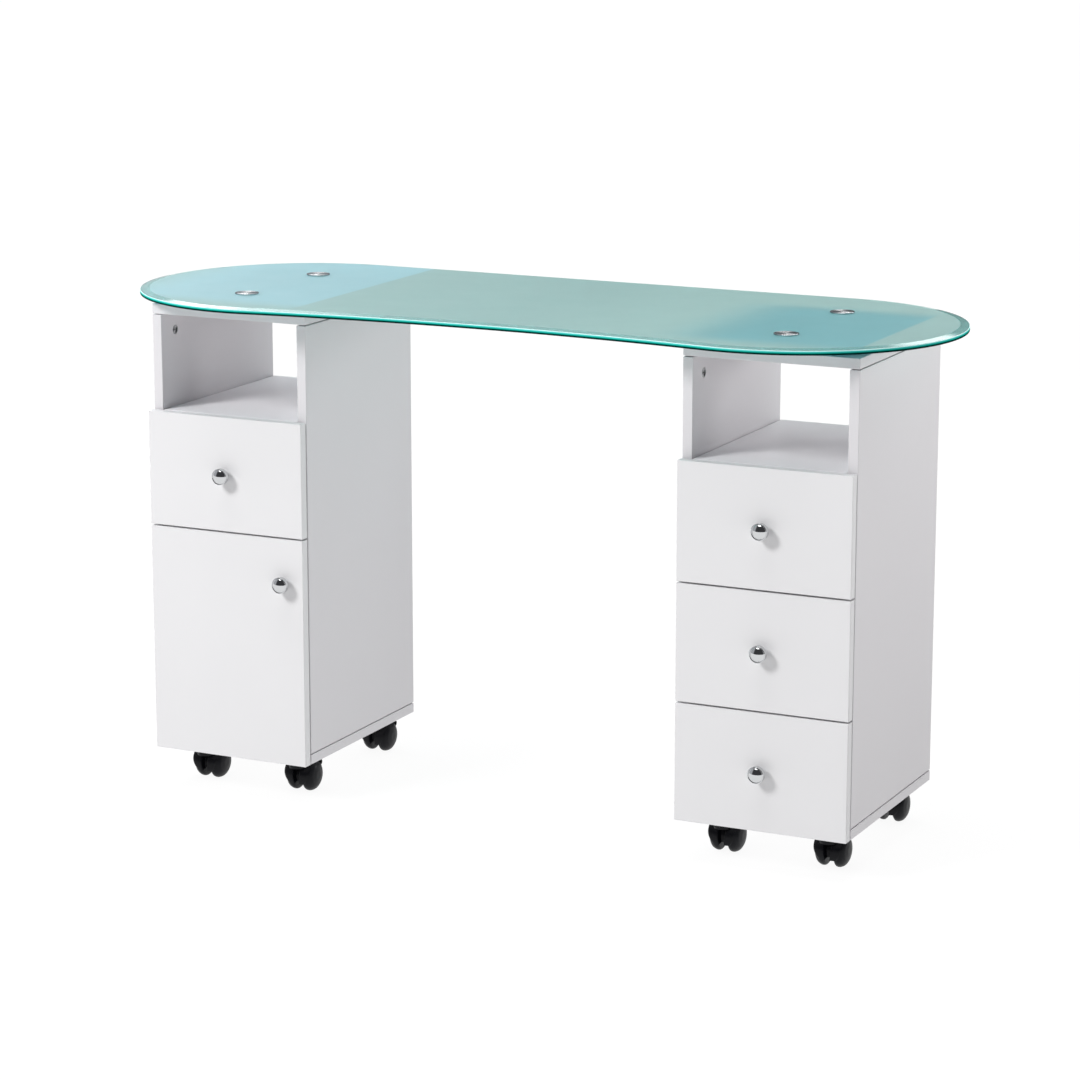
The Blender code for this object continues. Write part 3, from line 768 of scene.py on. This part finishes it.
def build_runners(drawer):
    """Roller runners: a channel on the cabinet with a roller at its front, a rail on the drawer."""
    box_low, box_high = ends(f"{drawer}_box")
    for name, side in (("left", -1), ("right", 1)):
        node = f"{drawer}_runner_{name}"
        low, high = ends(node)
        wall = high.x if side > 0 else low.x
        lip = low.x if side > 0 else high.x
        sheet = RUNNER_SHEET
        inner = wall - side * sheet
        outline = [(wall, low.z, 0.002), (lip, low.z, 0), (lip, low.z + sheet, 0),
                   (inner, low.z + sheet, 0.001), (inner, high.z - sheet, 0.001),
                   (lip, high.z - sheet, 0), (lip, high.z, 0), (wall, high.z, 0.002)]
        mesh = prism_mesh(filleted(outline, 3, closed=True), low.y, high.y - low.y, "xz", 0.0002)
        add_piece(f"{node}_channel", mesh, "white_metal", "root", [node])
        heads = [(inner - side * 0.0002, y, (low.z + high.z) / 2)
                 for y in (low.y + 0.037, low.y + 0.165, high.y - 0.03)]
        add_screws(f"{node}_screws", heads, (-side, 0, 0))
        roller_x = (wall + lip) / 2 - side * sheet
        front_roller = (roller_x, low.y + 0.012, low.z + sheet + 0.0065)
        add_piece(f"{node}_front_roller", roller_mesh(0.0062, 0.0062), "white_nylon",
                  "root", (), front_roller)
        build_drawer_rail(f"{drawer}_rail_{name}", drawer, side, box_low, box_high, low.z, roller_x)


def build_drawer_rail(name, drawer, side, box_low, box_high, channel_z, roller_x):
    """The half that rides on the drawer: a leg on its wall and a flange into the channel."""
    wall = box_high.x if side > 0 else box_low.x
    leg, flange = wall + side * 0.0004, roller_x + side * 0.0026
    top, shelf = channel_z + 0.0280, channel_z + 0.0150
    outline = [(wall + side * 0.00005, shelf - 0.011, 0), (leg, shelf - 0.011, 0), (leg, shelf, 0),
               (flange, shelf, 0), (flange, shelf + 0.0010, 0), (leg, shelf + 0.0010, 0),
               (leg, top, 0), (wall + side * 0.00005, top, 0)]
    start, end = box_low.y + 0.004, box_high.y - 0.002
    mesh = prism_mesh(filleted(outline, 2, closed=True), start, end - start, "xz")
    add_piece(name, mesh, "white_metal", drawer)
    roller = roller_mesh(0.0105, 0.0060)
    place = (roller_x, end - 0.0105, channel_z + 0.0145)
    add_piece(f"{name}_roller", roller, "white_nylon", drawer, (), place)


def build_drawer(drawer):
    add_panel(f"{drawer}_front", "front", drawer, [bore_for_knob(f"{drawer}_knob")])
    add_knob(f"{drawer}_knob", f"{drawer}_front", drawer)
    build_drawer_box(drawer)
    build_runners(drawer)


# ---- Cupboard door and hinges ----


def hinge_cup_mesh():
    """Pressed cup with a rounded rim, open towards +Y; the back of the door is at y = 0."""
    radius, inner = CUP_RADIUS - HAIR, CUP_RADIUS - 0.0014
    profile = filleted([(0, -CUP_DEPTH + 0.0005, 0), (radius, -CUP_DEPTH + 0.0005, 0.002),
                        (radius, HAIR, 0), (CUP_RADIUS + 0.0022, HAIR, 0.0002),
                        (CUP_RADIUS + 0.0022, 0.0012, 0.0005), (inner, 0.0012, 0.0006),
                        (inner, -CUP_DEPTH + 0.0015, 0.002), (0, -CUP_DEPTH + 0.0015, 0)], 4)
    return turned_mesh(profile, "y", 64)


def build_hinge(place, door_back_y):
    """Cup with its screwed ears on the door; arm and mounting plate on the cabinet side."""
    cup = middle(f"{place}_hinge_cup")
    add_piece(f"{place}_hinge_cup_pressed", hinge_cup_mesh(), "zinc", "door",
              [f"{place}_hinge_cup"], (cup.x, door_back_y, cup.z))
    ear = [(-0.007, 0.0192, 0), (0.007, 0.0192, 0), (0.006, 0.0305, 0.004), (-0.006, 0.0305, 0.004)]
    ears, heads = bmesh.new(), []
    for sign in (1, -1):
        outline = [(x + cup.x, sign * z + cup.z) for x, z in filleted(ear, 4, closed=True)]
        ears.from_mesh(prism_mesh(outline, door_back_y + HAIR, 0.0010, "xz", 0.0002))
        heads.append((cup.x, door_back_y + 0.0013, cup.z + sign * 0.0245))
    add_piece(f"{place}_hinge_ears", to_mesh(ears), "zinc", "door")
    add_screws(f"{place}_hinge_cup_screws", heads, (0, 1, 0), "door")
    build_hinge_arm(place)


def build_hinge_arm(place):
    node = f"{place}_hinge_arm"
    low, high = ends(node)
    wall, front, mid = low.x, low.y, (low.z + high.z) / 2
    outline = [(wall + 0.0032, front + 0.024, 0.001), (wall + 0.0032, high.y - 0.002, 0.001),
               (wall + 0.009, high.y - 0.003, 0.002), (wall + 0.013, high.y - 0.020, 0.004),
               (wall + 0.0138, front + 0.009, 0.006), (wall + 0.0207, front, 0.0004),
               (wall + 0.010, front, 0.0004), (wall + 0.0052, front + 0.011, 0.004)]
    mesh = prism_mesh(filleted(outline, 4, closed=True), low.z, high.z - low.z, "xy", 0.0008)
    even_shading(add_piece(f"{node}_pressed", mesh, "zinc", "root", [node]))
    lower_edge = [(front + 0.028, 0.0085, 0.002), (front + 0.037, 0.0085, 0.002),
                  (front + 0.042, 0.026, 0.004), (front + 0.056, 0.026, 0.004),
                  (front + 0.061, 0.0085, 0.002), (high.y, 0.0085, 0.002)]
    plate = [(y, mid - reach, rounded) for y, reach, rounded in lower_edge]
    plate += [(y, mid + reach, rounded) for y, reach, rounded in reversed(lower_edge)]
    mesh = prism_mesh(filleted(plate, 3, closed=True), wall, 0.0028, "yz", 0.0004)
    add_piece(f"{node}_plate", mesh, "zinc")
    heads = [(wall + 0.0028, front + 0.049, mid + sign * 0.019) for sign in (1, -1)]
    add_screws(f"{node}_plate_screws", heads, (1, 0, 0))
    tops = [(wall + 0.0126, front + 0.030, mid), (wall + 0.0122, front + 0.045, mid)]
    add_screws(f"{node}_adjusting_screws", tops, (1, 0, 0))


def build_door():
    back_y = ends("cupboard_door")[1].y
    knob = middle("cupboard_door_knob")
    bores = [bore_for_knob("cupboard_door_knob")]
    for place in ("upper", "lower"):
        cup = middle(f"{place}_hinge_cup")
        bores.append(rod((cup.x, back_y, cup.z), "y", CUP_RADIUS, 2 * CUP_DEPTH, 64))
    add_panel("cupboard_door", "front", "door", bores)
    add_knob("cupboard_door_knob", "cupboard_door", "door")
    add_screws("cupboard_door_knob_screw", [(knob.x, back_y, knob.z)], (0, 1, 0), "door", SCREW)
    for place in ("upper", "lower"):
        build_hinge(place, back_y)


# ---- Glass top ----


def glass_outline(inset):
    """The outline set in by a distance: round ends, straight back, one large hollow in front."""
    length, width = glass_high.x - glass_low.x, glass_high.y - glass_low.y
    end_radius = width / 2
    end_x = length / 2 - end_radius
    front_middle = end_radius - GLASS_HOLLOW
    hollow_radius = (end_x ** 2 + front_middle ** 2 - end_radius ** 2) / (2 * GLASS_HOLLOW)
    hub_y = -front_middle - hollow_radius
    tilt = math.atan2(end_x, -hub_y)
    quarter = math.pi / 2

    def arc(centre, radius, start, end, steps):
        angles = [start + (end - start) * step / steps for step in range(steps)]
        return [(centre[0] + radius * math.cos(a), centre[1] + radius * math.sin(a)) for a in angles]

    end_inset = end_radius - inset
    points = arc((0, hub_y), hollow_radius + inset, quarter + tilt, quarter - tilt, 72)
    points += arc((end_x, 0), end_inset, -quarter - tilt, -quarter, 6)
    points += arc((end_x, 0), end_inset, -quarter, quarter, 96)
    points += arc((-end_x, 0), end_inset, quarter, 3 * quarter, 96)
    points += arc((-end_x, 0), end_inset, 3 * quarter, 3 * quarter + tilt, 6)
    return points


def glass_mesh():
    """Rings of the outline from the top face over the bevel and the edge to the underside."""
    top, bottom = glass_high.z, glass_low.z
    rim = top - GLASS_BEVEL_DROP
    rings = [(GLASS_BEVEL_WIDTH + GLASS_PAINTED_LINE_WIDTH, top), (GLASS_BEVEL_WIDTH, top)]
    kept_flat = 2 * GLASS_ROUND
    rings.append((kept_flat, rim + GLASS_BEVEL_DROP * kept_flat / GLASS_BEVEL_WIDTH))
    rings += filleted([(GLASS_BEVEL_WIDTH, top, 0), (0, rim, GLASS_ROUND), (0, bottom, GLASS_ROUND),
                       (kept_flat, bottom, 0)], 4)[1:]
    bm = bmesh.new()
    loops = [[bm.verts.new((x, y, z)) for x, y in glass_outline(inset)] for inset, z in rings]
    bm.faces.new(loops[0])
    bm.faces.new(loops[-1])
    count = len(loops[0])
    for index, (upper, lower) in enumerate(zip(loops, loops[1:])):
        for step in range(count):
            after = (step + 1) % count
            side = bm.faces.new((upper[step], upper[after], lower[after], lower[step]))
            side.material_index = (1, 2, 2, 3)[min(index, 3)]      # line, bevel, bevel, edge
    mesh = to_mesh(bm)
    for material in ("glass_field", "glass_painted_line", "glass_bevel", "glass_edge"):
        mesh.materials.append(MATERIALS[material])
    spots = [middle(f"glass_standoff_{place}") for place in STANDOFFS]
    holes = [rod((spot.x, spot.y, (top + bottom) / 2), "z", GLASS_HOLE_RADIUS, 0.03, 48)
             for spot in spots]
    mesh = boolean(mesh, holes)
    keep_flat_faces(mesh)
    return mesh


def keep_flat_faces(mesh):
    """Smooth shading everywhere but round the level faces."""
    mesh.shade_smooth()
    bm = bmesh.new()
    bm.from_mesh(mesh)

    def is_flat(face):
        return abs(face.normal.z) > 0.9999

    for edge in bm.edges:
        if edge.is_manifold:
            first, second = edge.link_faces
            edge.smooth = is_flat(first) == is_flat(second) or edge.calc_face_angle() < 0.01
    bm.to_mesh(mesh)
    bm.free()


STANDOFFS = [f"{cabinet}_{end}" for cabinet in ("left", "right") for end in ("front", "back")]


def ring_profile(inner, outer, low_z, high_z, rounded):
    """Closed outline of a flat ring with its outer corners rounded."""
    return filleted([(inner, low_z, 0), (outer, low_z, rounded), (outer, high_z, rounded),
                     (inner, high_z, 0), (inner, low_z, 0)], 3)


def build_standoff(place):
    """Cap and clear washer over the glass, neck through it, collar and its seat under it."""
    node = f"glass_standoff_{place}"
    low = ends(node)[0]
    spot = middle(node)
    spot.z = 0

    def add_turned(part, profile, sides, material, stands_for=()):
        add_piece(f"{node}_{part}", turned_mesh(profile, "z", sides), material, "root",
                  stands_for, spot)

    top, bottom = glass_high.z, glass_low.z
    cap_low, cap_high = top + 0.0005, top + 0.0019
    collar_top = bottom - 0.0012
    cap = filleted([(0, cap_low, 0), (0.0180, cap_low, 0.0002), (0.0180, cap_high, 0.0004),
                    (0, cap_high, 0)], 4)
    add_turned("cap", cap, 96, "steel", [node])
    add_turned("washer", ring_profile(0.0062, 0.0172, top + 0.0001, cap_low - 0.00005, 0), 64,
               "clear_washer")
    neck = [(0, bottom - 0.001), (0.0045, bottom - 0.001), (0.0045, cap_low - 0.0001),
            (0, cap_low - 0.0001)]
    add_turned("neck", neck, 32, "zinc")
    collar = filleted([(0, low.z, 0), (0.0150, low.z, 0.0004), (0.0150, collar_top, 0.0006),
                       (0, collar_top, 0)], 4)
    add_turned("collar", collar, 64, "steel")
    add_turned("seat", ring_profile(0.0052, 0.0142, collar_top + 0.0001, bottom - 0.0001, 0.0002),
               64, "clear_washer")


def build_glass():
    add_piece("glass_top_slab", glass_mesh(), "glass_field", "root", ["glass_top"])
    for place in STANDOFFS:
        build_standoff(place)


# ---- Casters ----

WHEEL_RADIUS = 0.025
WHEEL_INNER, WHEEL_OUTER = 0.0070, 0.0250      # faces of a wheel, from the middle of the caster
HOOD_WEB = 0.0060              # half its thickness, between the wheels
TRAIL = 0.022                  # of the axle behind the swivel axis
AXLE_RADIUS = 0.0030
PLATE_THICK = 0.0020
PLATE_HOLE = 0.0150            # from the swivel axis, along and across


def on_side(profile, side):
    """The profile, mirrored for the left side."""
    return profile if side > 0 else [(r, -distance) for r, distance in reversed(profile)]


def wheel_mesh(side):
    """One rounded wheel with a domed outer face; the axle is the X axis."""
    radius = WHEEL_RADIUS
    outer = [(0, WHEEL_INNER, 0), (radius - 0.0035, WHEEL_INNER, 0.0010),
             (radius - 0.0004, WHEEL_INNER + 0.0020, 0.0030), (radius, WHEEL_INNER + 0.0060, 0.0080),
             (radius - 0.0026, WHEEL_OUTER - 0.0060, 0.0100),
             (radius - 0.0090, WHEEL_OUTER - 0.0020, 0.0120), (0.0070, WHEEL_OUTER, 0.0200),
             (0, WHEEL_OUTER, 0)]
    return turned_mesh(on_side(filleted(outer, 5), side), "x", 72, 50)


def hood_mesh():
    """Rounded hood over both wheels with a web between them and a round head on top.

    z = 0 is the underside of the cabinet, and the axle is TRAIL behind the swivel axis.
    """
    axle_z = WHEEL_RADIUS - ends("left_cabinet_bottom")[0].z
    shell_radius, half = WHEEL_RADIUS + 0.0038, 0.0250
    room_radius = WHEEL_RADIUS + 0.0014
    steps, first, last = 40, math.radians(200), math.radians(15)
    valley = shell_radius - 0.0080
    section = filleted([(-half, 0, 0), (-half, shell_radius - 0.0014, 0.0080),
                        (-0.0060, shell_radius, 0.0020), (-0.0032, valley, 0.0012),
                        (0.0032, valley, 0.0012), (0.0060, shell_radius, 0.0020),
                        (half, shell_radius - 0.0014, 0.0080), (half, 0, 0)], 6)
    bm = bmesh.new()
    rings = []
    for step in range(steps + 1):
        angle = first + (last - first) * step / steps
        from_end = min(step, steps - step) / (steps * 0.25)
        narrow = 1 - 0.38 * max(0.0, 1 - from_end) ** 2
        rings.append([bm.verts.new((x * narrow, TRAIL + r * math.cos(angle),
                                    axle_z + r * math.sin(angle))) for x, r in section])
    for near, far in zip(rings, rings[1:]):
        for index in range(len(section) - 1):
            bm.faces.new((near[index], near[index + 1], far[index + 1], far[index]))
    bm.faces.new(rings[0])
    bm.faces.new(rings[-1])
    bmesh.ops.remove_doubles(bm, verts=bm.verts, dist=1e-6)
    shell = to_mesh(bm)
    axle = (0, TRAIL, axle_z)
    hub = rod(axle, "x", 0.0085, 2 * HOOD_WEB, 48)
    head = turned_mesh(filleted([(0, -0.022, 0), (0.0128, -0.022, 0), (0.0145, -0.010, 0.01),
                                 (0.0150, -0.0036, 0.0010), (0, -0.0036, 0)], 4), "z", 48)
    tools = []
    for side in (-1, 1):
        room = [(0, HOOD_WEB, 0), (room_radius, HOOD_WEB, 0.0020), (room_radius, 0.0230, 0.0),
                (room_radius - 0.0030, 0.0400, 0), (0, 0.0400, 0)]
        tool = turned_mesh(on_side(filleted(room, 4), side), "x", 64)
        tool.transform(Matrix.Translation(Vector(axle)))
        tools.append(tool)
    body = boolean(shell, [hub, head], "UNION")
    body = boolean(body, tools + [rod(axle, "x", AXLE_RADIUS + 0.0002, 0.04, 32)])
    body.materials.clear()
    return resharpen(body, 35)


def swivel_plate_mesh():
    """Square plate with rounded corners and a raised race, screwed under the cabinet."""
    half = 0.0190
    outline = filleted([(-half, -half, 0.004), (half, -half, 0.004), (half, half, 0.004),
                        (-half, half, 0.004)], 5, closed=True)
    plate = prism_mesh(outline, -PLATE_THICK, PLATE_THICK - 0.0001, "xy", 0.0003)
    race = turned_mesh(filleted([(0, -0.0034, 0), (0.0130, -0.0034, 0.0005),
                                 (0.0140, -0.0015, 0), (0, -0.0015, 0)], 3), "z", 48)
    return shaped(plate, [race], "UNION")


def build_casters():
    wheels = {side: wheel_mesh(side) for side in (-1, 1)}
    hood, plate = hood_mesh(), swivel_plate_mesh()
    ceiling = ends("left_cabinet_bottom")[0].z
    axle = turned_mesh([(0, -WHEEL_INNER), (AXLE_RADIUS, -WHEEL_INNER), (AXLE_RADIUS, WHEEL_INNER),
                        (0, WHEEL_INNER)], "x", 32)
    for cabinet, row, column in product(("left", "right"), ("front", "back"), ("left", "right")):
        name = f"{cabinet}_cabinet_caster_{row}_{column}"
        centre = middle(f"{name}_wheels")
        top = Vector((centre.x, centre.y - TRAIL, ceiling))
        add_piece(f"{name}_hood_shell", hood, "black_nylon", f"{name}_swivel",
                  [f"{name}_hood"], top)
        for side, place in ((-1, "left"), (1, "right")):
            stands_for = [f"{name}_wheels"] if side < 0 else ()
            add_piece(f"{name}_{place}_wheel", wheels[side], "black_tread",
                      f"{name}_wheel_pair", stands_for, centre)
        add_piece(f"{name}_axle", axle, "zinc", f"{name}_wheel_pair", (), centre)
        add_piece(f"{name}_plate", plate, "zinc", "root", (), top)
        points = [top + Vector((x, y, -PLATE_THICK))
                  for x, y in product((-PLATE_HOLE, PLATE_HOLE), repeat=2)]
        add_screws(f"{name}_plate_screws", points, (0, 0, -1))


# ---- Stage, light and camera ----

ROOM_GLOW = (0.055, 0.055, 0.059)
ROOM_LIGHTS = [                # towards, full within, gone beyond (degrees), glow
    ((-0.10, -0.02, 1.0), 4, 26, (7.4, 7.4, 7.5)),
    ((-1.0, 0.20, 0.12), 45, 62, (0.46, 0.47, 0.49)),
    ((0.10, 0.75, 0.65), 8, 28, (2.8, 2.8, 2.8)),
    ((-0.525, 0.775, 0.350), 1.5, 4.5, (3.6, 3.6, 3.6)),
    ((-0.262, 0.911, 0.318), 1.5, 4.5, (2.6, 2.6, 2.6)),
]
SOFTBOXES = [                  # name, where it stands, what it aims at, size, spread, power
    ("key", (-2.55, -4.09, 4.0), (0.0, 0.5, -0.1), 1.6, 180, 228.0),
    ("back", (2.90, 2.90, 1.35), (0.46, 0.0, 0.85), 1.0, 28, 1.8),
]


def build_floor():
    bm = bmesh.new()
    bmesh.ops.create_circle(bm, cap_ends=True, segments=96, radius=FLOOR_RADIUS)
    floor = new_object("floor", to_mesh(bm))
    floor.data.materials.append(pale_floor())


def add_lobe(world, total, centre, inner_deg, outer_deg, glow):
    """Adds a soft round patch of light to the sum of the world's patches so far."""
    nearness = vector_step(world, "DOT_PRODUCT", coordinates(world, "Generated"),
                           Vector(centre).normalized())
    adding = add_node(world, "ShaderNodeVectorMath", operation="MULTIPLY_ADD")
    link(world, smooth_step(world, nearness, math.cos(math.radians(outer_deg)),
                            math.cos(math.radians(inner_deg))), adding.inputs[0])
    adding.inputs[1].default_value = glow
    if total is None:
        adding.inputs[2].default_value = ROOM_GLOW
    else:
        link(world, total, adding.inputs[2])
    return adding.outputs["Vector"]


def build_world():
    """A dim room lit softly from overhead, the left and behind; two narrow lights meet the bevel."""
    world = bpy.data.worlds.new("studio")
    world.use_nodes = True
    bpy.context.scene.world = world
    total = None
    for patch in ROOM_LIGHTS:
        total = add_lobe(world, total, *patch)
    background = world.node_tree.nodes["Background"]
    link(world, total, background.inputs["Color"])
    background.inputs["Strength"].default_value = 1.0


def build_softboxes():
    """A large light high on the front left, mirrored by nothing, and a weak narrow one behind."""
    for name, place, aim, size, spread_deg, power in SOFTBOXES:
        light = bpy.data.lights.new(name, "AREA")
        light.shape = "SQUARE"
        light.size = size
        light.spread = math.radians(spread_deg)
        light.energy = power
        softbox = new_object(name, light)
        softbox.location = place
        softbox.visible_camera = False
        softbox.visible_glossy = name != "key"
        towards = Vector(aim) - Vector(place)
        softbox.rotation_euler = towards.to_track_quat("-Z", "Y").to_euler()


def build_camera():
    data = bpy.data.cameras.new("camera")
    data.lens = CAMERA_LENS
    data.sensor_width = 36.0
    data.clip_start = 0.1
    data.clip_end = 2 * FLOOR_RADIUS
    camera = new_object("camera", data)
    camera.location = CAMERA_PLACE
    camera.rotation_euler = (math.radians(90 - CAMERA_DIP_DEG), 0, math.radians(CAMERA_TURN_DEG))
    bpy.context.scene.camera = camera


# ---- The whole scene ----

build_floor()
build_world()
build_softboxes()
build_camera()
build_glass()
for cabinet_name in ("left", "right"):
    build_cabinet(cabinet_name)
build_shelf("left_cabinet_divider_shelf")
for drawer_name in ("left", "right_upper", "right_middle", "right_lower"):
    build_drawer(f"{drawer_name}_drawer")
build_door()
build_casters()
bpy.context.scene.view_settings.view_transform = "Standard"
